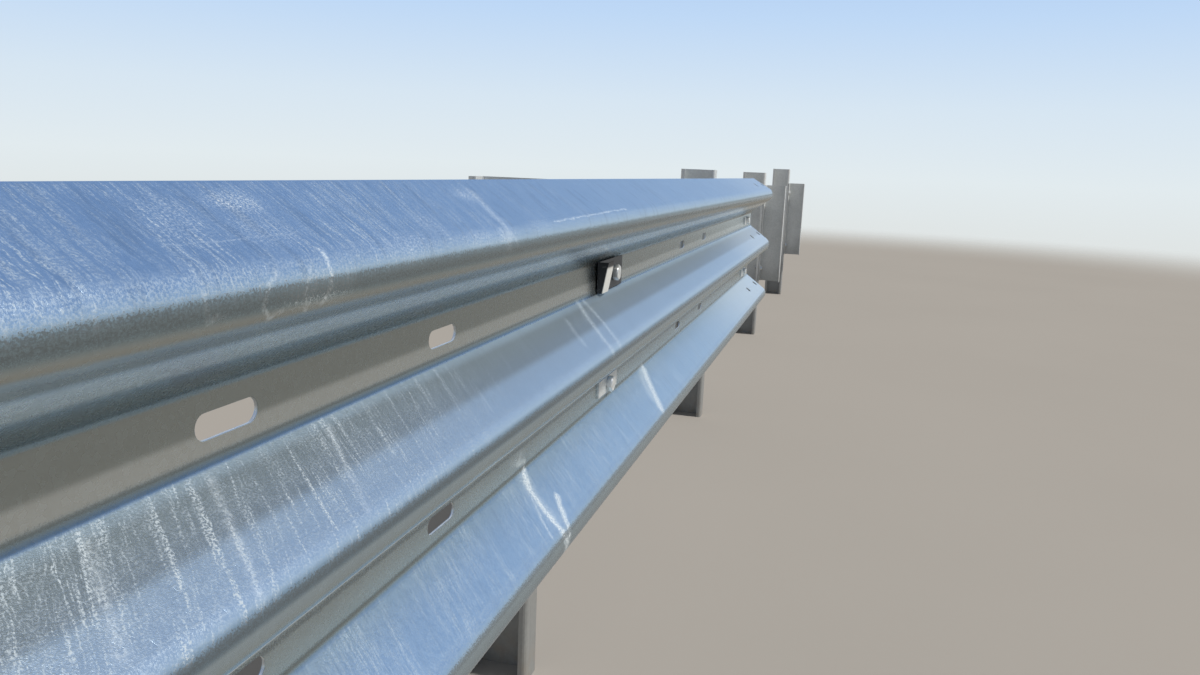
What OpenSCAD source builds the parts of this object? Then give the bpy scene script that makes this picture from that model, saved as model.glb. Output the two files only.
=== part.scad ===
// Three-wave highway guardrail on lipped channel posts, all of galvanised steel, from ground level up.
// X runs along the rail, the traffic face looks toward -Y and Z is up.
// The origin is at ground level, in the middle of the traffic-side flange of post 1.
// The run is unfinished: the last posts stand ready with their spacers and carry no beam yet.

/* [Run] */
// Distance from one post to the next
bay = 2000; // [1000:1000:4000]
// Height of the top edge of the beams above the ground
rail_top = 930; // [700:10:1000]
// What two beams overlap at a joint
lap = 318; // [300:2:340]
// How far each beam stands in front of the one before, so that they nest
nest_step = 7; // [6.5:0.1:8]

/* [Beam section] */
// Sheet thickness
beam_t = 3; // [2.5:0.1:3.2]
// Height of the beam from edge to edge
beam_w = 506; // [500:1:510]
// Depth from the crests to the back
beam_d = 81; // [78:0.5:86]
// Distance between crests
wave = 194; // [190:1:198]
// Half the flat of a crest, before its bends are rounded
crest_flat = 13.5; // [13.5:0.5:20]
// Half the flat of a valley, before its bends are rounded
valley_flat = 26; // [22:0.5:30]
// Radius of the bends at the crests, in the middle of the sheet
crest_r = 24; // [12:0.5:24]
// Radius of the bends at the valleys, in the middle of the sheet
valley_r = 12; // [8:0.5:20]

/* [Beam holes] */
// Length of the slots for the post bolts
slot_l = 64; // [50:1:70]
// Width of the slots for the post bolts
slot_w = 18; // [17:0.5:22]
// Length of the slots for the splice bolts
splice_l = 30; // [22:1:34]
// Width of the slots for the splice bolts
splice_w = 20; // [18:0.5:24]
// Distance of the splice bolts from the middle of the lap
splice_x = 108; // [90:1:120]

/* [Posts] */
// Depth of the post, across the rail
post_d = 130; // [100:1:140]
// Width of the post, along the rail
post_w = 60; // [50:1:80]
// Length of the lips on the open side
post_lip = 16; // [12:1:25]
// Wall of the post
post_t = 4; // [3:0.5:6]
// How far most posts stand above the beams
post_rise = 25; // [0:1:60]
// Post that is driven deeper than the others
low_post = 4; // [1:1:6]
// How much lower its top is
low_post_drop = 31; // [0:1:40]
// How much higher the last post stands
last_post_extra = 37; // [0:1:60]

/* [Spacers] */
// Depth from the post to the beam
spacer_d = 120; // [60:1:140]
// Width along the rail
spacer_w = 64; // [60:1:90]
// Height
spacer_h = 560; // [450:10:600]
// Distance from the top edge of the beam down to the top of the spacer
spacer_drop = 8; // [0:1:40]
// Wall of the spacer
spacer_t = 4; // [3:0.5:6]
// How far the spacers that carry no beam yet hang lower, in the slots of their posts
spacer_sag = 38; // [0:1:40]

/* [Bolt holes] */
// Diameter of the round holes for the bolts
hole_d = 18; // [14:1:22]
// Distance of the spacer's own bolts from its top and its bottom
hang_inset = 75; // [50:1:90]
// Length of the upright slots in the posts
hang_slot = 64; // [60:1:80]

/* [Plate washers] */
// Length along the rail
plate_l = 120; // [80:1:130]
// Height
plate_w = 28; // [24:0.5:31]
// Thickness
plate_t = 3; // [3:0.5:6]

/* [Delineator] */
// Post that carries it
delineator_post = 4; // [1:1:5]
// Height of the folded strip
flag_h = 50; // [40:1:50]
// Distance from the post bolt to its folded end
flag_x = 97; // [60:1:120]
// Distance from the post bolt to its plain end
flag_foot = 55; // [20:1:80]
// How far it stands out at its top
flag_out_top = 18; // [10:1:60]
// How far it stands out at its foot
flag_out_foot = 9; // [8:1:40]
// Length of its folded outer edge
flag_lip = 36; // [10:1:50]
// Sheet thickness
flag_t = 2; // [1.5:0.5:4]

/* [Hidden] */
$fn = 24;
bend_n = 8;
fold_n = 3;
// Beams bolted on so far, each two bays long
beams = 2;
beam_l = 2 * bay + lap;
beam_mid = rail_top - beam_w / 2;
upper_row = beam_mid + wave / 2;
lower_row = beam_mid - wave / 2;
post_y = -post_t / 2;
spacer_y = post_y - spacer_d;
posts = 7;
spacer_z = rail_top - spacer_drop - spacer_h;
hang_rows = [spacer_z + hang_inset, spacer_z + spacer_h - hang_inset];
hole_cut = 40;
// Bays at which the valleys have slots, for posts at 1, 4/3 and 2 m
slot_bays = [0, 1 / 2, 2 / 3, 1, 4 / 3, 3 / 2, 2];

// Where a post stands along the run, how far the laps before it have moved it forward,
// and how low its spacer hangs
function post_x(n) = (n - 1) * bay;
function laps_before(n) = max(0, ceil((n - 1) / 2) - 1);
function step_y(n) = -nest_step * min(laps_before(n), beams - 1);
function sag(n) = n > 2 * beams + 1 ? spacer_sag : 0;
function post_h(n) =
    rail_top + post_rise - (n == low_post ? low_post_drop : 0) + (n == posts ? last_post_extra : 0);

// Bent sheet: a path with its corners rounded, each to its own radius, thickened to both sides
function unit(v) = v / norm(v);
function left_of(a, b) = let (d = unit(b - a)) [-d.y, d.x];
function turned(v, angle) = [v.x * cos(angle) - v.y * sin(angle), v.x * sin(angle) + v.y * cos(angle)];
function reversed(list) = [for (i = [len(list) - 1:-1:0]) list[i]];
function bend(a, b, c, r, off, n) =
    let (u = unit(a - b), w = unit(c - b), half = acos(u * w) / 2, way = sign(cross(b - a, c - b)))
    let (centre = b + unit(u + w) * r / sin(half), first = b + u * r / tan(half) - centre)
    [for (i = [0:n]) centre + turned(first * (r - way * off) / r, way * (180 - 2 * half) * i / n)];
function sheet_side(path, radii, off, n) =
    let (last = len(path) - 1)
    concat([path[0] + off * left_of(path[0], path[1])],
        [for (i = [1:last - 1]) each bend(path[i - 1], path[i], path[i + 1], radii[i - 1], off, n)],
        [path[last] + off * left_of(path[last - 1], path[last])]);

module sheet(path, radii, t, n) {
    polygon(concat(sheet_side(path, radii, t / 2, n), reversed(sheet_side(path, radii, -t / 2, n))));
}

// Folded profile: the same sheet with tight, equal bends
module folded(path, t) {
    sheet(path, [for (i = [2:len(path) - 1]) 1.5 * t], t, fold_n);
}

module slot(l, w) {
    square([l - w, w], center = true);
    for (side = [-1, 1])
        translate([side * (l - w) / 2, 0]) circle(d = w);
}

// Cutter with the outline of its children, along Y
module across(depth) {
    rotate([90, 0, 0])
        linear_extrude(height = depth, center = true) children();
}

// The three waves, seen along X: Y is depth from the back, Z is height from the middle
crest_y = beam_t / 2 - beam_d;
valley_y = -beam_t / 2;
edge_y = -beam_t;
edge_z = (beam_w - beam_t) / 2;
beam_half = [[edge_y, edge_z], [crest_y, wave + crest_flat], [crest_y, wave - crest_flat],
    [valley_y, wave / 2 + valley_flat], [valley_y, wave / 2 - valley_flat], [crest_y, crest_flat]];
beam_path = concat(beam_half, [for (p = reversed(beam_half)) [p.x, -p.y]]);
radii_half = [crest_r, crest_r, valley_r, valley_r, crest_r];
beam_radii = concat(radii_half, reversed(radii_half));

// Middle of each flank as Y, Z and the tilt of its normal, from the top down
function flank(a, b) = let (m = (a + b) / 2) [m.x, m.y, atan((b.y - a.y) / (a.x - b.x)) - 90];
flanks_half = [flank(beam_half[1], beam_half[0]), flank(beam_half[3], beam_half[2]),
    flank(beam_half[5], beam_half[4])];
function tidy_tilt(f) = [f[0], f[1], f[2] < -90 ? f[2] + 180 : f[2]];
flanks = concat([for (f = flanks_half) tidy_tilt(f)],
    [for (f = reversed(flanks_half)) tidy_tilt([f[0], -f[1], -f[2]])]);

module beam_blank() {
    translate([-lap / 2, 0, 0]) rotate([90, 0, 90])
        linear_extrude(height = beam_l) sheet(beam_path, beam_radii, beam_t, bend_n);
}

module beam_slots() {
    for (at = slot_bays, row = [-1, 1])
        translate([at * bay, valley_y, row * wave / 2]) across(hole_cut) slot(slot_l, slot_w);
}

module splice_slots() {
    for (joint = [0, 2 * bay], side = [-1, 1], f = flanks)
        translate([joint + side * splice_x, f[0], f[1]]) rotate([f[2], 0, 0])
            across(hole_cut) slot(splice_l, splice_w);
}

module beam(n) {
    color("lightsteelblue")
        translate([post_x(2 * n - 1), spacer_y - nest_step * (n - 1), beam_mid]) difference() {
            beam_blank();
            beam_slots();
            splice_slots();
        }
}

// Lipped channel, open toward -X, from the ground up
module post(n) {
    mid = post_t / 2;
    back = post_d - post_t;
    path = [[mid - post_w / 2, post_lip - mid], [mid - post_w / 2, 0], [post_w / 2 - mid, 0],
        [post_w / 2 - mid, back], [mid - post_w / 2, back], [mid - post_w / 2, back - post_lip + mid]];
    color("silver")
        translate([post_x(n), step_y(n), 0]) difference() {
            linear_extrude(height = post_h(n)) folded(path, post_t);
            for (z = hang_rows)
                translate([0, 0, z - spacer_sag / 2]) across(hole_cut) rotate(90) slot(hang_slot, hole_d);
        }
}

// Plain channel between the beam and the post, open toward -X
module spacer(n) {
    mid = spacer_t / 2;
    front = spacer_y + mid;
    rear = post_y - mid;
    path = [[-spacer_w / 2, front], [spacer_w / 2 - mid, front],
        [spacer_w / 2 - mid, rear], [-spacer_w / 2, rear]];
    color("lightgray")
        translate([post_x(n), step_y(n), -sag(n)]) difference() {
            translate([0, 0, spacer_z])
                linear_extrude(height = spacer_h) folded(path, spacer_t);
            for (z = [lower_row, upper_row])
                translate([0, front, z]) across(hole_cut) circle(d = hole_d);
            for (z = hang_rows)
                translate([0, rear, z]) across(hole_cut) circle(d = hole_d);
        }
}

// Front face of the beam at a post, in the valleys; at a joint the next beam lies on top
function lapped(n) = n % 2 == 1 && n > 1 && n < 2 * beams + 1;
function valley_face(n) = spacer_y + step_y(n) - beam_t - (lapped(n) ? nest_step : 0);

module plate_washers(n) {
    color("gainsboro")
        for (z = [lower_row, upper_row])
            translate([post_x(n), valley_face(n) - plate_t / 2, z]) difference() {
                cube([plate_l, plate_t, plate_w], center = true);
                across(hole_cut) circle(d = hole_d);
            }
}

// Part of the delineator between two lines that lean across the rail, each given as its top and its foot
module leaning(l, back, front) {
    rotate([90, 0, 90]) linear_extrude(height = l)
        polygon([[-back[0], flag_h / 2], [-back[1], -flag_h / 2],
            [-front[1], -flag_h / 2], [-front[0], flag_h / 2]]);
}

// Folded strip on the post bolt of the upper valley: foot, flag across the rail and leaning outer edge
module delineator() {
    sheet_depth = [flag_t, flag_t];
    out = [flag_out_top, flag_out_foot];
    color("dimgray")
        translate([post_x(delineator_post), valley_face(delineator_post) - plate_t, upper_row])
            difference() {
                translate([-flag_x, 0, 0]) {
                    leaning(flag_x + flag_foot, [0, 0], sheet_depth);
                    leaning(flag_t, [0, 0], out);
                    leaning(flag_lip, out - sheet_depth, out);
                }
                across(hole_cut) circle(d = hole_d);
            }
}

beam(1);  // beam_1
beam(2);  // beam_2
post(1);  // post_1
post(2);  // post_2
post(3);  // post_3
post(4);  // post_4
post(5);  // post_5
post(6);  // post_6
post(7);  // post_7
spacer(1);  // spacer_1
spacer(2);  // spacer_2
spacer(3);  // spacer_3
spacer(4);  // spacer_4
spacer(5);  // spacer_5
spacer(6);  // spacer_6
spacer(7);  // spacer_7
plate_washers(1);  // plate_washers_1
plate_washers(2);  // plate_washers_2
plate_washers(3);  // plate_washers_3
plate_washers(4);  // plate_washers_4
plate_washers(5);  // plate_washers_5
delineator();
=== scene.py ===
"""Looks of the three-wave highway guardrail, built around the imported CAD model.

The CAD nodes of the posts, spacers, plate washers and delineator stay and get their materials here.
The two beams are rebuilt on the same section with smooth bends and eased edges, because their finish
follows the sheet's own length and width, and the bolts, which the CAD model leaves out, are added.
"""
import math

import bmesh
import bpy
import numpy as np
from mathutils import Matrix, Vector


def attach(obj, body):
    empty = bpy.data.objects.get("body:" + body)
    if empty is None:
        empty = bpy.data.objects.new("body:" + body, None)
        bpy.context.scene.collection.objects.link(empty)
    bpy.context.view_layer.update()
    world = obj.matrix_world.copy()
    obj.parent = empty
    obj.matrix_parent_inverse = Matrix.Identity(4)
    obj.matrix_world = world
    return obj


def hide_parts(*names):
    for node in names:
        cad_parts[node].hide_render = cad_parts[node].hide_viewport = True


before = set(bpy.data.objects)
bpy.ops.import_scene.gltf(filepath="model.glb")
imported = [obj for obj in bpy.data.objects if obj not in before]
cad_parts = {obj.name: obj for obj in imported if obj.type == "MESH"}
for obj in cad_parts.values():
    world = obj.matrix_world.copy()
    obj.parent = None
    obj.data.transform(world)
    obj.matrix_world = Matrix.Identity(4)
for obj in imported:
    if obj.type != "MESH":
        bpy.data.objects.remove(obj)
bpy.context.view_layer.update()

# Dimensions in metres, as in the CAD model
BAY = 2.0
RAIL_TOP = 0.930
LAP = 0.318
NEST_STEP = 0.007
BEAM_T, BEAM_W, BEAM_D, WAVE = 0.003, 0.506, 0.081, 0.194
CREST_FLAT, VALLEY_FLAT, CREST_R, VALLEY_R = 0.0135, 0.026, 0.024, 0.012
SLOT_L, SLOT_W = 0.064, 0.018
SPLICE_L, SPLICE_W, SPLICE_X = 0.030, 0.020, 0.108
SLOT_BAYS = (0, 1 / 2, 2 / 3, 1, 4 / 3, 3 / 2, 2)
POST_T, SPACER_D, SPACER_T = 0.004, 0.120, 0.004
SPACER_DROP, SPACER_H, SPACER_SAG, HANG_INSET = 0.008, 0.560, 0.038, 0.075
PLATE_T = 0.003
FLAG_T, FLAG_H, FLAG_OUT_TOP, FLAG_OUT_FOOT = 0.002, 0.050, 0.018, 0.009
BOLT_D, BUTTON_D, BUTTON_H, HEX_AF, HEX_H = 0.016, 0.034, 0.008, 0.024, 0.010
NUT_H, WASHER_D, WASHER_T, BOLT_TAIL = 0.013, 0.030, 0.003, 0.006
POSTS, BEAMS, DELINEATOR_POST = 7, 2, 4
CUT_DEPTH = 0.02
EDGE_BEVEL = 0.0005
SMOOTH_BELOW = 28
BEND_STEPS = 14
THREAD_PITCH, THREAD_DEPTH = 0.002, 0.0011

BEAM_MID = RAIL_TOP - BEAM_W / 2
POST_Y = -POST_T / 2
SPACER_Y = POST_Y - SPACER_D
SPACER_Z = RAIL_TOP - SPACER_DROP - SPACER_H
ROWS = (BEAM_MID - WAVE / 2, BEAM_MID + WAVE / 2)
HANG_ROWS = (SPACER_Z + HANG_INSET, SPACER_Z + SPACER_H - HANG_INSET)


def post_x(n):
    return (n - 1) * BAY


def step_y(n):
    """How far the laps before a post have moved it towards the traffic."""
    laps_before = max(0, math.ceil((n - 1) / 2) - 1)
    return -NEST_STEP * min(laps_before, BEAMS - 1)


def sag(n):
    """How much lower a spacer hangs that carries no beam yet."""
    return SPACER_SAG if n > 2 * BEAMS + 1 else 0.0


def valley_face(n):
    """Front of the valley floor at a post; at a joint the next beam lies on top."""
    lapped = n % 2 == 1 and 1 < n < 2 * BEAMS + 1
    return SPACER_Y + step_y(n) - BEAM_T - (NEST_STEP if lapped else 0.0)


# Beam section: Y is depth from the back, Z is height from the middle

def unit(v):
    return v / np.linalg.norm(v)


def bend(a, b, c, r, off, n):
    """Points round the corner b of a path, on the sheet's face that is off from its middle."""
    u, v = unit(a - b), unit(c - b)
    half = math.acos(float(u @ v)) / 2
    way = math.copysign(1.0, (b - a)[0] * (c - b)[1] - (b - a)[1] * (c - b)[0])
    centre = b + unit(u + v) * r / math.sin(half)
    arm = (b + u * r / math.tan(half) - centre) * (r - way * off) / r
    points = []
    for i in range(n + 1):
        turn = way * (math.pi - 2 * half) * i / n
        points.append(centre + np.array([arm[0] * math.cos(turn) - arm[1] * math.sin(turn),
                                         arm[0] * math.sin(turn) + arm[1] * math.cos(turn)]))
    return points


def sheet_side(path, off):
    """One face of the bent sheet as a polyline."""
    def left_of(a, b):
        d = unit(b - a)
        return np.array([-d[1], d[0]])
    points = [path[0] + off * left_of(path[0], path[1])]
    for i in range(1, len(path) - 1):
        points += bend(path[i - 1], path[i], path[i + 1], BEND_RADII[i - 1], off, BEND_STEPS)
    points.append(path[-1] + off * left_of(path[-2], path[-1]))
    return np.array(points)


CREST_Y = BEAM_T / 2 - BEAM_D
VALLEY_Y = -BEAM_T / 2
HALF_PATH = [(-BEAM_T, (BEAM_W - BEAM_T) / 2), (CREST_Y, WAVE + CREST_FLAT), (CREST_Y, WAVE - CREST_FLAT),
             (VALLEY_Y, WAVE / 2 + VALLEY_FLAT), (VALLEY_Y, WAVE / 2 - VALLEY_FLAT), (CREST_Y, CREST_FLAT)]
BEAM_PATH = [np.array(p) for p in HALF_PATH + [(y, -z) for y, z in reversed(HALF_PATH)]]
BEND_RADII = (CREST_R, CREST_R, VALLEY_R, VALLEY_R, CREST_R, CREST_R, VALLEY_R, VALLEY_R, CREST_R, CREST_R)
MIDDLE = sheet_side(BEAM_PATH, 0.0)
ALONG = np.concatenate([[0.0], np.cumsum(np.linalg.norm(np.diff(MIDDLE, axis=0), axis=1))])


def sheet_position(points):
    """For each Y, Z point, its length along the section from the top edge down, and its side of the sheet's
    middle: positive is behind."""
    starts, steps = MIDDLE[:-1], np.diff(MIDDLE, axis=0)
    offset = points[:, None, :] - starts[None, :, :]
    t = np.clip(np.sum(offset * steps, axis=2) / np.sum(steps * steps, axis=1), 0.0, 1.0)
    gap = np.linalg.norm(offset - t[:, :, None] * steps, axis=2)
    nearest = np.argmin(gap, axis=1)
    rows = np.arange(len(points))
    along = ALONG[nearest] + t[rows, nearest] * np.linalg.norm(steps[nearest], axis=1)
    out, step = offset[rows, nearest], steps[nearest]
    return along, step[:, 0] * out[:, 1] - step[:, 1] * out[:, 0]


def find_flanks():
    """Middle of each flank as Y, Z and the angle that turns the Y axis into its normal."""
    found = []
    for i in (0, 2, 4, 6, 8, 10):
        a, b = BEAM_PATH[i], BEAM_PATH[i + 1]
        m = (a + b) / 2
        slope = math.atan2(b[0] - a[0], a[1] - b[1])
        found.append((m[0], m[1], slope))
    return found


FLANKS = find_flanks()


# Mesh helpers

def new_object(name, bm, materials):
    mesh = bpy.data.meshes.new(name)
    bm.normal_update()
    bm.to_mesh(mesh)
    bm.free()
    ob = bpy.data.objects.new(name, mesh)
    bpy.context.scene.collection.objects.link(ob)
    for material in materials:
        mesh.materials.append(material)
    return ob


def smooth_by_angle(bm):
    limit = math.radians(SMOOTH_BELOW)
    for face in bm.faces:
        face.smooth = True
    for edge in bm.edges:
        edge.smooth = len(edge.link_faces) == 2 and edge.calc_face_angle(0.0) < limit


def lathe(bm, profile, matrix, steps):
    """Turns (radius, height) points about Z and adds the surface to bm."""
    rings = []
    for radius, height in profile:
        if radius < 1e-6:
            rings.append([bm.verts.new(matrix @ Vector((0, 0, height)))])
        else:
            rings.append([bm.verts.new(matrix @ Vector((radius * math.cos(2 * math.pi * k / steps),
                                                        radius * math.sin(2 * math.pi * k / steps), height)))
                          for k in range(steps)])
    for low, high in zip(rings, rings[1:]):
        for k in range(steps):
            n = (k + 1) % steps
            corners = [low[k % len(low)], low[n % len(low)], high[n % len(high)], high[k % len(high)]]
            bm.faces.new(list(dict.fromkeys(corners)))


def slot_prism(bm, length, width, matrix, n=12):
    """Round-ended cutter: long along X, wide along Z, deep along Y, before its matrix."""
    outline = []
    for side in (1, -1):
        for i in range(n + 1):
            a = -math.pi / 2 + math.pi * i / n
            outline.append((side * ((length - width) / 2 + width / 2 * math.cos(a)),
                            side * width / 2 * math.sin(a)))
    rings = [[bm.verts.new(matrix @ Vector((x, y, z))) for x, z in outline]
             for y in (-CUT_DEPTH / 2, CUT_DEPTH / 2)]
    bm.faces.new(rings[0])
    bm.faces.new(list(reversed(rings[1])))
    for i in range(len(outline)):
        j = (i + 1) % len(outline)
        bm.faces.new((rings[0][j], rings[0][i], rings[1][i], rings[1][j]))


def beam_cutters(x0, y0):
    bm = bmesh.new()
    for at in SLOT_BAYS:
        for z in ROWS:
            slot_prism(bm, SLOT_L, SLOT_W, Matrix.Translation((x0 + at * BAY, y0 + VALLEY_Y, z)))
    for joint in (0, 2 * BAY):
        for side in (-1, 1):
            for y, z, turn in FLANKS:
                place = Matrix.Translation((x0 + joint + side * SPLICE_X, y0 + y, BEAM_MID + z))
                slot_prism(bm, SPLICE_L, SPLICE_W, place @ Matrix.Rotation(turn, 4, "X"))
    bmesh.ops.recalc_face_normals(bm, faces=bm.faces)
    return new_object("cutters", bm, [])


# The back of the sheet is mapped this much further along, beyond the reach of the finish on its front
BACK_SHIFT = 1.0


def build_beam(n, material, edge_material):
    """One beam: the bent sheet along X with its slots cut, its edges eased and its finish mapped."""
    x0, y0 = post_x(2 * n - 1), SPACER_Y - NEST_STEP * (n - 1)
    ends = (x0 - LAP / 2, x0 + 2 * BAY + LAP / 2)
    sides = [sheet_side(BEAM_PATH, off) for off in (BEAM_T / 2, -BEAM_T / 2)]
    bm = bmesh.new()
    grid = [[[bm.verts.new((x, y0 + p[0], BEAM_MID + p[1])) for p in side] for side in sides] for x in ends]
    count = len(sides[0])
    for side in (0, 1):
        for i in range(count - 1):
            bm.faces.new((grid[0][side][i], grid[0][side][i + 1], grid[1][side][i + 1], grid[1][side][i]))
    for i in (0, count - 1):
        bm.faces.new((grid[0][0][i], grid[0][1][i], grid[1][1][i], grid[1][0][i]))
    for end in (0, 1):
        for i in range(count - 1):
            bm.faces.new((grid[end][0][i], grid[end][0][i + 1], grid[end][1][i + 1], grid[end][1][i]))
    bmesh.ops.recalc_face_normals(bm, faces=bm.faces)
    blank = new_object(f"beam_{n}_sheet", bm, [material, edge_material])
    cutters = beam_cutters(x0, y0)
    cut = blank.modifiers.new("slots", "BOOLEAN")
    cut.operation, cut.solver, cut.object = "DIFFERENCE", "EXACT", cutters
    ease = blank.modifiers.new("edges", "BEVEL")
    ease.width, ease.segments = EDGE_BEVEL, 2
    ease.limit_method, ease.angle_limit = "ANGLE", math.radians(50)
    shaped = bpy.data.meshes.new_from_object(blank.evaluated_get(bpy.context.evaluated_depsgraph_get()))
    blank.modifiers.clear()
    bpy.data.objects.remove(cutters)
    bm = bmesh.new()
    bm.from_mesh(shaped)
    smooth_by_angle(bm)
    bm.verts.index_update()
    along, behind = sheet_position(np.array([(v.co.y - y0, v.co.z - BEAM_MID) for v in bm.verts]))
    uv = bm.loops.layers.uv.new("sheet")
    for face in bm.faces:
        corners = [v.index for v in face.verts]
        back = all(behind[i] > 0 for i in corners)
        inside = all(ends[0] + 0.001 < v.co.x < ends[1] - 0.001 for v in face.verts) \
            and all(0.001 < along[i] < ALONG[-1] - 0.001 for i in corners)
        if inside and not back and any(behind[i] > 0 for i in corners):
            face.material_index = 1
        for loop in face.loops:
            shift = BACK_SHIFT if back else 0.0
            loop[uv].uv = (loop.vert.co.x, float(along[loop.vert.index]) + shift)
    bm.to_mesh(blank.data)
    bm.free()
    bpy.data.meshes.remove(shaped)
    level = blank.modifiers.new("flat_faces", "WEIGHTED_NORMAL")
    level.keep_sharp, level.weight = True, 80
    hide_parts(f"beam_{n}")
    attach(blank, "root")


# Bolts: hexagon or button head, threaded shank, washer and chamfered nut

def add_hexagon(bm, place, low, high, low_bore, high_bore, steps=36):
    """Hexagon between two heights, its corners turned off at both ends, each end open to its bore."""
    corner = HEX_AF / 2 / math.cos(math.pi / 6)
    turned_off = HEX_AF / 2 * 0.97
    angles = [2 * math.pi * k / steps for k in range(steps)]

    def ring(radii, z):
        return [bm.verts.new(place @ Vector((r * math.cos(a), r * math.sin(a), z)))
                for r, a in zip(radii, angles)]

    flats = [HEX_AF / 2 / math.cos((a + math.pi / 6) % (math.pi / 3) - math.pi / 6) for a in angles]
    rows = []
    if low_bore:
        rows.append(ring([low_bore] * steps, low))
    for z, limit in ((low, turned_off), (low + 0.0016, corner), (high - 0.0016, corner), (high, turned_off)):
        rows.append(ring([min(flat, limit) for flat in flats], z))
    if high_bore:
        rows.append(ring([high_bore] * steps, high))
    for first, second in zip(rows, rows[1:]):
        for k in range(steps):
            j = (k + 1) % steps
            bm.faces.new((first[k], first[j], second[j], second[k]))
    if not low_bore:
        bm.faces.new(rows[0])
    if not high_bore:
        bm.faces.new(rows[-1])


def add_bolt(bm, place, grip, button):
    """The head seats at the place's Z = 0 and the washer and nut at Z = grip."""
    radius = BOLT_D / 2
    if button:
        half, tall = BUTTON_D / 2, BUTTON_H
        dome = ((0.32, 0.985), (0.58, 0.84), (0.8, 0.58), (0.94, 0.32), (1.0, 0.16))
        lathe(bm, [(0, -tall)] + [(half * out, -tall * up) for out, up in dome] + [(half, 0), (radius, 0)],
              place, 32)
    else:
        add_hexagon(bm, place, -HEX_H, 0, 0, radius)
    end = grip + WASHER_T + NUT_H + BOLT_TAIL
    shank = [(radius, 0), (radius, grip)]
    z = grip
    while z < end - 0.003:
        shank += [(radius - THREAD_DEPTH, z + THREAD_PITCH / 2), (radius, z + THREAD_PITCH)]
        z += THREAD_PITCH
    shank += [(radius - 0.002, end), (0, end)]
    lathe(bm, shank, place, 24)
    rim = WASHER_D / 2
    lathe(bm, [(radius, grip), (rim - 0.0002, grip), (rim, grip + 0.0004), (rim, grip + WASHER_T - 0.0004),
               (rim - 0.0002, grip + WASHER_T), (radius, grip + WASHER_T)], place, 32)
    add_hexagon(bm, place, grip + WASHER_T, grip + WASHER_T + NUT_H, radius, radius)


def bolt_group(name, places, material, button=False):
    """Bolts as one mesh. Each place is a head seat, the angle from the Y axis and the grip."""
    bm = bmesh.new()
    for index, (seat, tilt, grip) in enumerate(places):
        spin = Matrix.Rotation(0.7 * index + 0.3, 4, "Z")
        along_y = Matrix.Rotation(-math.pi / 2, 4, "X")
        place = Matrix.Translation(seat) @ Matrix.Rotation(tilt, 4, "X") @ along_y @ spin
        add_bolt(bm, place, grip, button)
    bmesh.ops.recalc_face_normals(bm, faces=bm.faces)
    smooth_by_angle(bm)
    ob = new_object(name, bm, [material])
    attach(ob, "root")


# Node materials

def add_node(tree, kind, inputs=None, **settings):
    """A node with its settings made, and each input linked to a socket or set to a value."""
    made = tree.nodes.new(kind)
    for key, value in settings.items():
        setattr(made, key, value)
    for key, value in (inputs or {}).items():
        join(tree, made.inputs[key], value)
    return made


def join(tree, socket, value):
    if isinstance(value, bpy.types.NodeSocket):
        tree.links.new(value, socket)
    else:
        socket.default_value = value


class Finish:
    """A node material under construction."""

    def __init__(self, name):
        self.material = bpy.data.materials.new(name)
        self.material.use_nodes = True
        self.tree = self.material.node_tree
        self.tree.nodes.clear()

    def node(self, kind, inputs=None, **settings):
        return add_node(self.tree, kind, inputs, **settings)

    def math(self, operation, a, b=0.0, c=0.0):
        return self.node("ShaderNodeMath", {0: a, 1: b, 2: c}, operation=operation).outputs[0]

    def scale(self, value, factor):
        return self.math("MULTIPLY", value, factor)

    def scale_add(self, value, factor, added):
        return self.math("MULTIPLY_ADD", value, factor, added)

    def highest(self, values):
        total = None
        for value in values:
            total = value if total is None else self.math("MAXIMUM", total, value)
        return total

    def vector(self, operation, a, b, out="Vector"):
        return self.node("ShaderNodeVectorMath", {0: a, 1: b}, operation=operation).outputs[out]

    def scaled(self, vector, factor):
        return self.node("ShaderNodeVectorMath", {0: vector, 3: factor}, operation="SCALE").outputs[0]

    def span(self, value, low, high, to_low=0.0, to_high=1.0, soft=False):
        kind = "SMOOTHSTEP" if soft else "LINEAR"
        made = self.node("ShaderNodeMapRange", {"Value": value, "From Min": low, "From Max": high,
                                                "To Min": to_low, "To Max": to_high},
                         interpolation_type=kind, clamp=not soft)
        return made.outputs[0]

    def noise(self, vector, scale, detail=2.0, rough=0.5):
        made = self.node("ShaderNodeTexNoise", {"Vector": vector, "Scale": scale, "Detail": detail,
                                                "Roughness": rough})
        return made.outputs["Factor" if "Factor" in made.outputs else "Fac"]

    def cells(self, vector, scale):
        """A random grey for each Voronoi cell."""
        made = self.node("ShaderNodeTexVoronoi", {"Vector": vector, "Scale": scale})
        grey = self.node("ShaderNodeRGBToBW", {0: made.outputs["Color"]})
        return grey.outputs[0]

    def mix(self, factor, a, b, blend="MIX"):
        made = self.node("ShaderNodeMix", {"Factor": factor}, data_type="RGBA", blend_type=blend)
        for socket, value in ((made.inputs[6], a), (made.inputs[7], b)):
            join(self.tree, socket, (*value, 1.0) if isinstance(value, tuple) else value)
        return made.outputs[2]

    def shade(self, colour, factor):
        """The colour times a grey factor."""
        grey = self.node("ShaderNodeCombineColor", {0: factor, 1: factor, 2: factor})
        return self.mix(1.0, colour, grey.outputs[0], "MULTIPLY")

    def bump(self, height, strength, distance, normal=None):
        inputs = {"Height": height, "Strength": strength, "Distance": distance}
        if normal is not None:
            inputs["Normal"] = normal
        return self.node("ShaderNodeBump", inputs).outputs[0]

    def surface(self, **inputs):
        shader = self.node("ShaderNodeBsdfPrincipled")
        for key, value in inputs.items():
            socket = shader.inputs[key.replace("_", " ")]
            join(self.tree, socket, (*value, 1.0) if isinstance(value, tuple) else value)
        self.node("ShaderNodeOutputMaterial", {"Surface": shader.outputs[0]})
        return self.material


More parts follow.
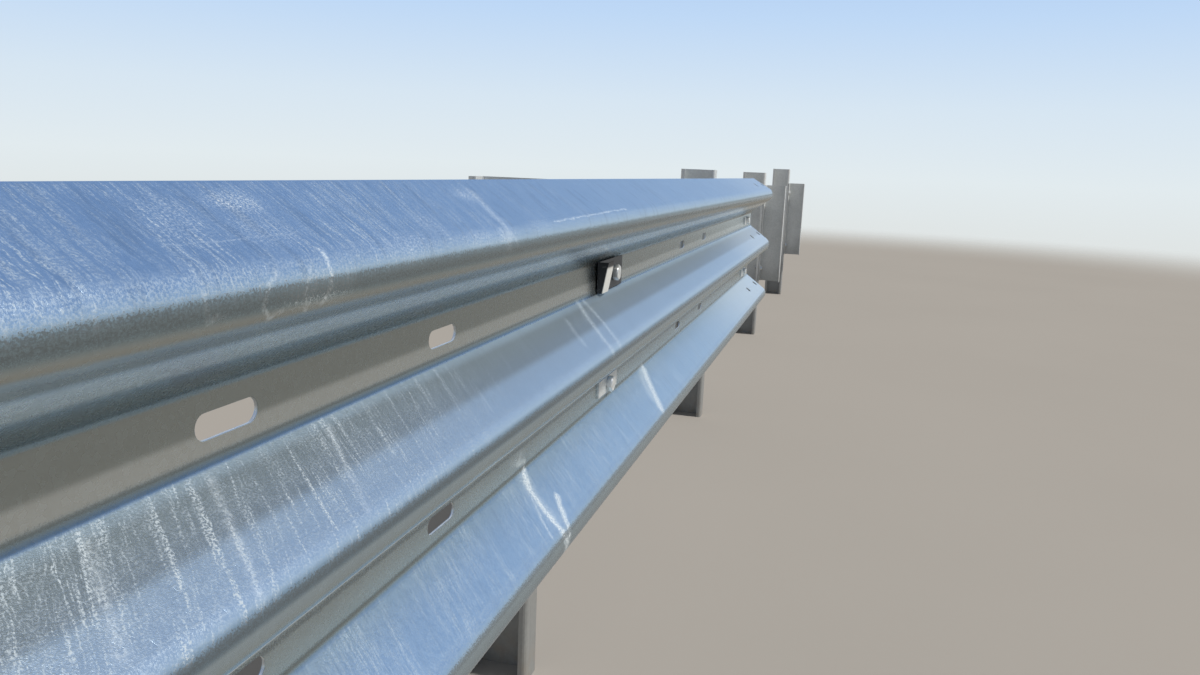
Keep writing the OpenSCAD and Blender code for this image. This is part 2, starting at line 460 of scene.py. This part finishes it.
def line_mask(finish, point, route, width, fade):
    """1 along a broken line of (x, along) points on the sheet, falling to 0 over fade."""
    masks = []
    for a, b in zip(route, route[1:]):
        span = Vector((b[0] - a[0], b[1] - a[1], 0.0))
        offset = finish.vector("SUBTRACT", point, (a[0], a[1], 0.0))
        t = finish.vector("DOT_PRODUCT", offset, tuple(span / span.length_squared), out="Value")
        t = finish.math("MINIMUM", finish.math("MAXIMUM", t, 0.0), 1.0)
        on_line = finish.scaled(tuple(span), t)
        gap = finish.vector("DISTANCE", offset, on_line, out="Value")
        masks.append(finish.span(gap, width + fade, width, soft=True))
    return finish.highest(masks)


def cluster_mask(finish, point, x, along, half_x, half_along, strength):
    """A soft patch on the sheet, falling from strength in its middle to 0 at its half sizes."""
    offset = finish.vector("MULTIPLY", finish.vector("SUBTRACT", point, (x, along, 0.0)),
                           (1.0 / half_x, 1.0 / half_along, 0.0))
    reach = finish.vector("LENGTH", offset, (0.0, 0.0, 0.0), out="Value")
    return finish.span(reach, 1.0, 0.15, 0.0, strength, soft=True)


# The beam's zinc. Lengths are along its section, in metres from the top edge down. Each zone has a low
# and high length, a fade and a colour. The zones paint reflections and shade into the colour: darker
# painted shade under the crests, a pale painted reflection on the first flank, and brighter on the lowest
# flank.
PLAIN_ZINC = (0.45, 0.55, 0.62)
PAINTED_REFLECTION_ZONES = (
    (0.099, 0.108, 0.006, (0.28, 0.37, 0.42)), (0.116, 0.130, 0.010, (0.40, 0.40, 0.35)),
    (0.142, 0.158, 0.012, (0.88, 0.90, 0.87)), (0.190, 0.234, 0.032, (0.33, 0.36, 0.35)),
    (0.240, 0.249, 0.006, (0.52, 0.55, 0.54)), (0.255, 0.259, 0.004, (0.20, 0.24, 0.25)),
    (0.276, 0.304, 0.012, (0.31, 0.36, 0.38)), (0.357, 0.363, 0.005, (0.25, 0.34, 0.42)),
    (0.384, 0.405, 0.014, (0.42, 0.45, 0.39)), (0.425, 0.465, 0.020, (0.33, 0.41, 0.47)),
    (0.492, 0.518, 0.012, (0.47, 0.53, 0.54)), (0.522, 0.529, 0.004, (0.27, 0.32, 0.33)),
    (0.535, 0.606, 0.010, (0.55, 0.65, 0.69)), (0.646, 0.658, 0.018, (0.33, 0.42, 0.50)),
)
# White scratches, runs and drips on the second beam: points of x and of length along the sheet,
# then half width, fade and strength
MARKS = [
    ([(5.583, 0.526), (5.554, 0.550), (5.538, 0.583), (5.529, 0.617), (5.533, 0.624)], 0.0012, 0.0085, 1.0),
    ([(5.531, 0.620), (5.538, 0.645)], 0.0020, 0.0120, 0.9),
    ([(5.568, 0.534), (5.549, 0.560), (5.536, 0.600)], 0.0000, 0.0200, 0.45),
    ([(5.592, 0.582), (5.579, 0.592), (5.558, 0.610), (5.546, 0.628)], 0.0008, 0.0080, 0.9),
    ([(5.541, 0.560), (5.514, 0.590), (5.500, 0.612)], 0.0000, 0.0045, 0.5),
    ([(5.575, 0.500), (5.560, 0.512), (5.590, 0.515), (5.583, 0.526)], 0.0002, 0.0060, 0.6),
    ([(6.279, 0.530), (6.233, 0.557), (6.190, 0.587), (6.154, 0.613)], 0.0008, 0.0160, 0.9),
    ([(6.255, 0.530), (6.200, 0.560), (6.165, 0.590)], 0.0000, 0.0200, 0.4),
    ([(5.800, 0.263), (5.778, 0.287), (5.744, 0.336), (5.739, 0.354)], 0.0002, 0.0130, 0.50),
    ([(5.828, 0.266), (5.811, 0.307), (5.783, 0.350)], 0.0002, 0.0110, 0.45),
    ([(5.700, 0.280), (5.684, 0.300), (5.672, 0.325)], 0.0000, 0.0100, 0.35),
    ([(5.462, 0.083), (5.616, 0.081), (5.802, 0.079)], 0.0002, 0.0016, 0.7),
    ([(4.948, 0.089), (4.936, 0.097), (4.933, 0.107), (4.943, 0.115), (4.953, 0.110)], 0.0000, 0.0032, 0.5),
    ([(5.003, 0.078), (5.001, 0.103), (4.995, 0.111)], 0.0002, 0.0040, 0.7),
    ([(4.981, 0.090), (4.972, 0.104), (4.979, 0.116)], 0.0000, 0.0036, 0.5),
    ([(4.884, 0.094), (4.888, 0.108), (4.901, 0.106)], 0.0000, 0.0030, 0.35),
    ([(5.352, 0.022), (5.338, 0.044), (5.322, 0.068), (5.310, 0.100)], 0.0000, 0.0120, 0.40),
    ([(5.300, 0.082), (5.312, 0.100), (5.322, 0.086), (5.333, 0.101)], 0.0000, 0.0034, 0.45),
    ([(4.884, 0.061), (5.002, 0.061)], 0.0000, 0.0014, 0.35),
    ([(4.970, 0.268), (4.948, 0.312), (4.927, 0.352)], 0.0000, 0.0070, 0.45),
    ([(5.107, 0.270), (5.086, 0.298), (5.060, 0.345)], 0.0000, 0.0060, 0.40),
    ([(4.870, 0.270), (4.835, 0.335)], 0.0000, 0.0080, 0.40),
]
# Soft patches of denser chalk: middle and half size, in x and in length along the sheet, then strength
CLUSTERS = [
    (4.985, 0.024, 0.040, 0.022, 1.0), (4.975, 0.055, 0.050, 0.030, 0.5), (4.915, 0.040, 0.040, 0.040, 0.5),
    (5.330, 0.028, 0.045, 0.020, 0.8), (5.310, 0.090, 0.045, 0.016, 0.9), (5.245, 0.088, 0.070, 0.014, 0.7),
    (5.120, 0.086, 0.070, 0.020, 0.6), (4.990, 0.102, 0.060, 0.016, 0.8), (5.180, 0.070, 0.030, 0.030, 0.5),
    (5.560, 0.505, 0.040, 0.014, 0.7), (5.410, 0.085, 0.060, 0.014, 0.5),
]
CHALK, WHITE, PAINTED_SHADE_COLOUR = (0.56, 0.63, 0.68), (0.78, 0.84, 0.86), (0.085, 0.09, 0.09)
# Dark lines painted below the crests and in the valleys as shade and dark reflections: low, high and strength
PAINTED_SHADE_LINES = ((0.0980, 0.1065, 1.0), (0.3585, 0.3630, 1.0), (0.6215, 0.6255, 1.0),
               (0.2535, 0.2575, 0.7), (0.5205, 0.5245, 0.7), (0.4900, 0.4930, 0.7))
PAINTED_SHADE_FADE = 0.0025


class BeamZinc(Finish):
    """Hot-dip zinc on rolled sheet: satin in the valleys, chalky with grainy runs on the upper flanks."""

    def __init__(self):
        super().__init__("beam_zinc")
        self.sheet = self.node("ShaderNodeUVMap", uv_map="sheet").outputs[0]
        parts = self.node("ShaderNodeSeparateXYZ", {0: self.sheet})
        self.x, self.along = parts.outputs[0], parts.outputs[1]
        self.cloud = self.noise(self.sheet, 9.0, 4.0, 0.6)
        self.patches = self.noise(self.sheet, 60.0, 3.0, 0.6)
        self.grain = self.noise(self.sheet, 560.0, 2.5, 0.75)
        self.fine_grain = self.noise(self.sheet, 1300.0, 1.0, 0.6)
        self.spangle = self.cells(self.sheet, 260.0)
        self.specks = self.span(self.grain, 0.44, 0.58, soft=True)
        self.first = self.strip(0.004, 0.099, 0.005)
        self.second = self.strip(0.264, 0.357, 0.004)
        self.third = self.strip(0.530, 0.620, 0.006)

        # Runs are nearly upright where they start and lean back further down
        lower = self.math("MAXIMUM", self.math("SUBTRACT", self.along, 0.20), 0.0)
        lean = self.span(self.x, 4.98, 5.22, 0.08, 0.40, soft=True)
        start = self.scale_add(self.patches, 0.007, self.x)
        start = self.scale_add(self.math("SUBTRACT", self.along, lower), lean, start)
        self.start = self.scale_add(lower, 0.55, start)
        self.wide = self.run_noise(120.0, 9.0, 0.47)
        self.narrow = self.run_noise(330.0, 24.0, 0.50)
        self.hair = self.run_noise(700.0, 60.0, 0.50)

    def strip(self, low, high, fade, length=None):
        """1 between two lengths along the section."""
        length = self.along if length is None else length
        return self.scale(self.span(length, low - fade, low, soft=True),
                          self.span(length, high + fade, high, soft=True))

    def run_noise(self, across, down, low, high=0.68):
        """Noise drawn out along the runs, with so many cells a metre across them and down them."""
        place = self.node("ShaderNodeCombineXYZ", {0: self.scale(self.start, across),
                                                  1: self.scale(self.along, down)}).outputs[0]
        return self.span(self.noise(place, 1.0, 3.0, 0.6), low, high, soft=True)

    def with_painted_reflections(self):
        """The plain zinc with its zones of painted reflection and painted shade laid over it."""
        zinc = PLAIN_ZINC
        for low, high, fade, tint in PAINTED_REFLECTION_ZONES:
            zinc = self.mix(self.strip(low, high, fade), zinc, tint)
        return zinc

    def tone(self):
        """Grey factor of the bare zinc: clouds, spangle and faint dark runs."""
        tone = self.scale_add(self.cloud, 0.12, 0.94)
        tone = self.scale_add(self.math("SUBTRACT", self.spangle, 0.5), 0.05, tone)
        dark_runs = self.scale(self.run_noise(80.0, 14.0, 0.50),
                               self.highest([self.first, self.scale(self.third, 0.4)]))
        return self.scale_add(dark_runs, -0.13, tone)

    def chalk(self, rims):
        """Chalk in the runs, thickest where the sheet was handled, and thin on the lowest flank, with more
        towards the far end as a painted highlight.
        """
        groups = self.run_noise(15.0, 5.0, 0.34, 0.62)
        runs = self.highest([self.scale(self.wide, 0.60), self.scale(self.narrow, 0.85),
                             self.scale(self.hair, 0.75)])
        runs = self.scale(runs, self.scale_add(self.specks, 0.85, 0.20))
        runs = self.scale(runs, self.scale_add(groups, 0.70, 0.30))
        handled = self.span(self.x, 5.05, 5.50, 1.0, 0.22, soft=True)
        scatter = self.scale(self.scale(self.specks, 0.30), self.span(self.patches, 0.35, 0.60, soft=True))
        bands = self.scale(self.wide, self.scale_add(self.specks, 0.75, 0.10))
        # Chalk rising towards the far end of the beam: a painted highlight on the far crests
        far_end_highlight = self.scale(self.highest([self.second, self.third, self.scale(self.first, 0.5)]),
                              self.span(self.x, 6.60, 7.95, 0.0, 0.50, soft=True))
        return self.highest([self.scale(self.scale(self.first, runs), self.scale_add(handled, 0.55, 0.25)),
                             self.scale(self.scale(self.second, self.highest([runs, scatter, bands])),
                                        handled),
                             self.scale(self.scale(self.third, runs), 0.50), far_end_highlight,
                             self.scale(rims, self.scale(self.specks, 0.30))])

    def painted_shade(self):
        """Painted shade lines with an uneven edge."""
        jagged = self.scale_add(self.grain, 0.014, self.scale(self.patches, 0.004))
        jagged = self.math("ADD", self.along, self.math("SUBTRACT", jagged, 0.009))
        lines = self.highest(self.scale(self.strip(low, high, PAINTED_SHADE_FADE, jagged), strength)
                             for low, high, strength in PAINTED_SHADE_LINES)
        return self.scale(lines, self.span(self.grain, 0.38, 0.56, 0.45, 1.0))

    def marks(self):
        """Broken white strokes and drips, and denser patches of chalk."""
        wander = self.node("ShaderNodeTexNoise", {"Vector": self.sheet, "Scale": 110.0, "Detail": 5.0,
                                                 "Roughness": 0.65})
        shift = self.vector("SUBTRACT", wander.outputs["Color"], (0.5, 0.5, 0.5))
        ragged = self.vector("ADD", self.sheet, self.scaled(shift, 0.009))
        strokes = self.highest(self.scale(line_mask(self, ragged, route, width, fade), strength)
                               for route, width, fade, strength in MARKS)
        broken = self.span(self.noise(self.sheet, 380.0, 5.0, 0.8), 0.42, 0.56, 0.10, 1.0)
        strokes = self.scale(strokes, broken)
        clusters = self.highest(cluster_mask(self, self.sheet, *place) for place in CLUSTERS)
        clusters = self.scale(clusters, self.scale_add(self.highest([self.narrow, self.hair]), 0.50, 0.40))
        return self.highest([strokes, self.scale(clusters, self.specks)])

    def build(self):
        rims = self.highest([self.strip(0.086, 0.094, 0.008), self.strip(0.343, 0.350, 0.008),
                             self.scale(self.strip(0.608, 0.614, 0.006), 0.5)])
        chalk, marks, painted_shade = self.chalk(rims), self.marks(), self.painted_shade()
        # A pale line painted along crest 2's lower bend as a highlight, fading along the beam
        painted_bend_highlight = self.scale(self.strip(0.3840, 0.3920, 0.0015),
                            self.span(self.x, 5.60, 6.60, 0.85, 0.25, soft=True))
        # The plain zinc carries the painted reflection and painted shade zones
        colour = self.mix(chalk, self.shade(self.with_painted_reflections(), self.tone()), CHALK)
        colour = self.mix(self.highest([marks, painted_bend_highlight]), colour, WHITE)
        # Painted shade: dark lines below the crests and in the valleys
        colour = self.mix(self.scale(painted_shade, 0.72), colour, PAINTED_SHADE_COLOUR)

        upper = self.highest([self.first, self.second, self.third])
        covered = self.highest([chalk, marks, painted_bend_highlight])
        rough = self.scale_add(self.spangle, 0.05, 0.24)
        rough = self.scale_add(upper, 0.05, rough)
        rough = self.scale_add(covered, 0.30, rough)
        dull = self.highest([covered, self.scale(painted_shade, 0.5), self.scale(self.second, 0.22)])
        metal = self.math("SUBTRACT", 0.92, self.scale(dull, 0.86))

        depth = self.scale_add(self.highest([upper, rims, painted_shade]), 0.42, 0.006)
        height = self.scale_add(self.fine_grain, 0.5, self.scale_add(self.spangle, 0.12, self.grain))
        waves = self.bump(self.noise(self.sheet, 5.0, 2.0), 0.2, 0.004, self.bump(height, depth, 0.0005))
        return self.surface(Base_Color=colour, Metallic=metal, Roughness=rough, Normal=waves,
                            Specular_Tint=(0.88, 0.91, 0.93))


def dull_zinc(name, light, dark, roughness):
    """Hot-dip zinc on posts and spacers: cloudy, with fine spangle and faint runs, darker towards the
    ground as painted shade under the beams and partly as dirt, and with soil at the foot."""
    f = Finish(name)
    place = f.node("ShaderNodeTexCoord").outputs["Object"]
    height_up = f.node("ShaderNodeSeparateXYZ", {0: place}).outputs[2]
    cloud = f.noise(place, 14.0, 4.0, 0.6)
    spangle = f.cells(place, 190.0)
    run_at = f.vector("MULTIPLY", place, (150.0, 150.0, 7.0))
    runs = f.span(f.noise(run_at, 1.0, 3.0, 0.6), 0.52, 0.75, soft=True)
    grain = f.noise(place, 500.0, 2.0, 0.6)
    colour = f.mix(f.span(cloud, 0.3, 0.7), dark, light)
    colour = f.shade(colour, f.scale_add(spangle, 0.16, 0.92))
    colour = f.mix(f.scale(runs, 0.35), colour, (0.62, 0.64, 0.65))
    # Painted shade: darker from half a metre down to the ground, for the shade under the beams, partly dirt
    colour = f.shade(colour, f.span(height_up, 0.20, 0.50, 0.42, 1.0, soft=True))
    soiled = f.span(height_up, 0.10, 0.0, soft=True)
    dust = f.scale(soiled, f.span(f.noise(place, 40.0, 4.0), 0.40, 0.65))
    colour = f.mix(f.scale(dust, 0.6), colour, (0.30, 0.26, 0.21))
    rough = f.scale_add(spangle, 0.12, roughness)
    rough = f.scale_add(runs, 0.15, rough)
    height = f.scale_add(grain, 0.5, f.scale(cloud, 0.8))
    return f.surface(Base_Color=colour, Metallic=f.scale_add(dust, -0.1, 0.16), Roughness=rough,
                     Normal=f.bump(height, 0.25, 0.0008))


def bright_zinc():
    """Zinc on bolts, nuts and plate washers: light, with duller clouds."""
    f = Finish("fastener_zinc")
    place = f.node("ShaderNodeTexCoord").outputs["Object"]
    cloud = f.noise(place, 120.0, 3.0, 0.6)
    grain = f.noise(place, 900.0, 2.0, 0.6)
    colour = f.mix(f.span(cloud, 0.35, 0.65), (0.60, 0.61, 0.60), (0.80, 0.81, 0.79))
    rough = f.scale_add(cloud, 0.25, 0.28)
    return f.surface(Base_Color=colour, Metallic=0.45, Roughness=rough, Normal=f.bump(grain, 0.3, 0.0004))


def delineator_paint():
    """Black paint, worn in spots, with a bare white outer face whose top is left black as a painted shadow of
    the crest above.
    """
    f = Finish("delineator_paint")
    place = f.node("ShaderNodeTexCoord").outputs["Object"]
    parts = f.node("ShaderNodeSeparateXYZ", {0: place})
    slope = (FLAG_OUT_TOP - FLAG_OUT_FOOT) / FLAG_H
    middle_out = (FLAG_OUT_TOP + FLAG_OUT_FOOT) / 2
    face_y = valley_face(DELINEATOR_POST) - PLATE_T - middle_out
    leaned = f.scale_add(f.math("SUBTRACT", parts.outputs[2], ROWS[1]), slope, parts.outputs[1])
    outer = f.span(leaned, face_y + 0.0014, face_y + 0.0006)
    top = ROWS[1] + FLAG_H / 2
    # The white face stops below its top: a painted shadow of the crest above
    below_painted_shadow = f.span(parts.outputs[2], top - 0.006, top - 0.011, soft=True)
    scuffs = f.span(f.noise(place, 150.0, 4.0, 0.65), 0.58, 0.70)
    bare = f.math("MAXIMUM", f.scale(outer, below_painted_shadow), f.scale(scuffs, 0.15))
    colour = f.mix(bare, (0.012, 0.012, 0.014), (0.80, 0.80, 0.76))
    grain = f.noise(place, 700.0, 2.0)
    return f.surface(Base_Color=colour, Metallic=0.0, Roughness=f.scale_add(scuffs, 0.15, 0.42),
                     Normal=f.bump(grain, 0.2, 0.0003))


# Pieces
zinc, small_zinc = BeamZinc().build(), bright_zinc()
for n in range(1, BEAMS + 1):
    build_beam(n, zinc, small_zinc)

post_zinc = dull_zinc("post_zinc", (0.76, 0.78, 0.77), (0.64, 0.66, 0.65), 0.42)
spacer_zinc = dull_zinc("spacer_zinc", (0.70, 0.72, 0.71), (0.58, 0.60, 0.59), 0.38)
paint = delineator_paint()
for name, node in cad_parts.items():
    if name.startswith("beam"):
        continue
    for prefix, material in (("post", post_zinc), ("spacer", spacer_zinc), ("plate", small_zinc),
                             ("delineator", paint)):
        if name.startswith(prefix):
            node.data.materials.clear()
            node.data.materials.append(material)

for n in range(1, POSTS + 1):
    x, back = post_x(n), POST_Y + step_y(n)
    bolt_group(f"spacer_bolts_{n}", [((x, back - SPACER_T, z - sag(n)), 0.0, SPACER_T + POST_T)
                                     for z in HANG_ROWS], small_zinc)
    if n > 2 * BEAMS + 1:
        continue
    places = []
    for z in ROWS:
        foot = FLAG_T if n == DELINEATOR_POST and z == ROWS[1] else 0.0
        seat = valley_face(n) - PLATE_T - foot
        places.append(((x, seat, z), 0.0, SPACER_Y + step_y(n) + SPACER_T - seat))
    bolt_group(f"rail_bolts_{n}", places, small_zinc)

splice_places = []
for side in (-1, 1):
    for y, z, turn in FLANKS:
        normal = Vector((0, math.cos(turn), math.sin(turn)))
        centre = Vector((post_x(3) + side * SPLICE_X, SPACER_Y - NEST_STEP + y, BEAM_MID + z))
        splice_places.append((centre - normal * BEAM_T / 2, turn, BEAM_T + NEST_STEP * math.cos(turn)))
bolt_group("splice_bolts", splice_places, small_zinc, button=True)


# Floor, light and camera

FLOOR_COLOUR = (0.42, 0.395, 0.365)
# Pale backdrop by elevation in degrees, deeper blue overhead
BACKDROP = ((-4.0, (0.74, 0.77, 0.76)), (0.0, (0.76, 0.83, 0.86)), (4.0, (0.68, 0.79, 0.89)),
            (9.0, (0.52, 0.69, 0.92)), (16.0, (0.35, 0.53, 0.85)), (30.0, (0.22, 0.38, 0.72)),
            (80.0, (0.20, 0.34, 0.64)))


def build_floor():
    """Pale floor that fades into the backdrop some metres from the rail, and keeps its shadow."""
    f = Finish("floor")
    place = f.node("ShaderNodeTexCoord").outputs["Object"]
    parts = f.node("ShaderNodeSeparateXYZ", {0: place})
    tone = f.scale_add(f.noise(place, 0.8, 3.0), 0.06, 0.97)
    colour = f.shade(FLOOR_COLOUR, tone)
    shader = f.node("ShaderNodeBsdfDiffuse", {"Color": colour}).outputs[0]
    past_ends = f.math("SUBTRACT", f.math("ABSOLUTE", f.math("SUBTRACT", parts.outputs[0], 3 * BAY)), 3 * BAY)
    beyond = f.node("ShaderNodeCombineXYZ", {0: f.math("MAXIMUM", past_ends, 0.0),
                                             1: parts.outputs[1]}).outputs[0]
    far = f.span(f.vector("LENGTH", beyond, (0.0, 0.0, 0.0), out="Value"), 5.0, 11.0, soft=True)
    rays = f.node("ShaderNodeLightPath").outputs
    seen = f.math("MAXIMUM", rays["Is Camera Ray"], f.math("MAXIMUM", rays["Is Glossy Ray"],
                                                           rays["Is Transmission Ray"]))
    clear = f.node("ShaderNodeBsdfTransparent").outputs[0]
    both = f.node("ShaderNodeMixShader", {0: f.scale(far, seen), 1: shader, 2: clear})
    f.node("ShaderNodeOutputMaterial", {"Surface": both.outputs[0]})
    bm = bmesh.new()
    bmesh.ops.create_grid(bm, x_segments=8, y_segments=8, size=200)
    floor = new_object("floor", bm, [f.material])


def build_world():
    """The backdrop as camera and reflections see it, and a plain soft fill as light."""
    world = bpy.data.worlds.new("studio")
    bpy.context.scene.world = world
    world.use_nodes = True
    tree = world.node_tree
    tree.nodes.clear()

    def node(kind, inputs=None, **settings):
        return add_node(tree, kind, inputs, **settings)

    direction = node("ShaderNodeTexCoord").outputs["Generated"]
    height = node("ShaderNodeSeparateXYZ", {0: direction}).outputs[2]
    half = node("ShaderNodeMath", {0: height, 1: 0.5, 2: 0.5}, operation="MULTIPLY_ADD").outputs[0]
    ramp = node("ShaderNodeValToRGB", {0: half})
    stops = ramp.color_ramp.elements
    while len(stops) < len(BACKDROP):
        stops.new(0.5)
    for stop, (elevation, colour) in zip(stops, BACKDROP):
        stop.position = math.sin(math.radians(elevation)) / 2 + 0.5
    for stop, (elevation, colour) in zip(stops, BACKDROP):
        stop.color = (*colour, 1)
    seen = node("ShaderNodeBackground", {"Color": ramp.outputs[0], "Strength": 1.0})
    fill = node("ShaderNodeBackground", {"Color": (0.90, 0.94, 1.0, 1), "Strength": 0.30})
    rays = node("ShaderNodeLightPath").outputs
    direct = node("ShaderNodeMath", {0: rays["Is Camera Ray"], 1: rays["Is Glossy Ray"]}, operation="MAXIMUM")
    direct = node("ShaderNodeMath", {0: direct.outputs[0], 1: rays["Is Transmission Ray"]},
                  operation="MAXIMUM")
    mixed = node("ShaderNodeMixShader", {0: direct.outputs[0], 1: fill.outputs[0], 2: seen.outputs[0]})
    node("ShaderNodeOutputWorld", {"Surface": mixed.outputs[0]})


def build_lights():
    """One soft key light from high on the traffic side."""
    lamp = bpy.data.lights.new("key", "SUN")
    lamp.energy, lamp.angle, lamp.color = 3.0, math.radians(6), (1.0, 0.96, 0.90)
    key = bpy.data.objects.new("key", lamp)
    bpy.context.scene.collection.objects.link(key)
    towards = Vector((0.0, 0.656, -0.755))
    key.rotation_euler = towards.to_track_quat("-Z", "Y").to_euler()


def build_camera():
    """Fitted to the photograph: beside the second beam, just above its top edge, looking along the run."""
    yaw, pitch, roll = math.radians(14.98), math.radians(10.48), math.radians(-2.335)
    focal_over_width = 918.7 / 1200
    forward = Vector((math.cos(yaw) * math.cos(pitch), math.sin(yaw) * math.cos(pitch), -math.sin(pitch)))
    level = Vector((math.sin(yaw), -math.cos(yaw), 0))
    upright = level.cross(forward)
    right = level * math.cos(roll) - upright * math.sin(roll)
    up = level * math.sin(roll) + upright * math.cos(roll)
    data = bpy.data.cameras.new("camera")
    data.sensor_fit, data.sensor_width, data.lens = "HORIZONTAL", 36.0, 36.0 * focal_over_width
    data.clip_start, data.clip_end = 0.02, 500
    camera = bpy.data.objects.new("camera", data)
    bpy.context.scene.collection.objects.link(camera)
    place = Matrix.Identity(4)
    for column, axis in enumerate((right, up, -forward, Vector((4.4957, -0.5198, 0.9473)))):
        for row in range(3):
            place[row][column] = axis[row]
    camera.matrix_world = place
    bpy.context.scene.camera = camera


build_floor()
build_world()
build_lights()
build_camera()
bpy.context.scene.view_settings.view_transform = "Standard"
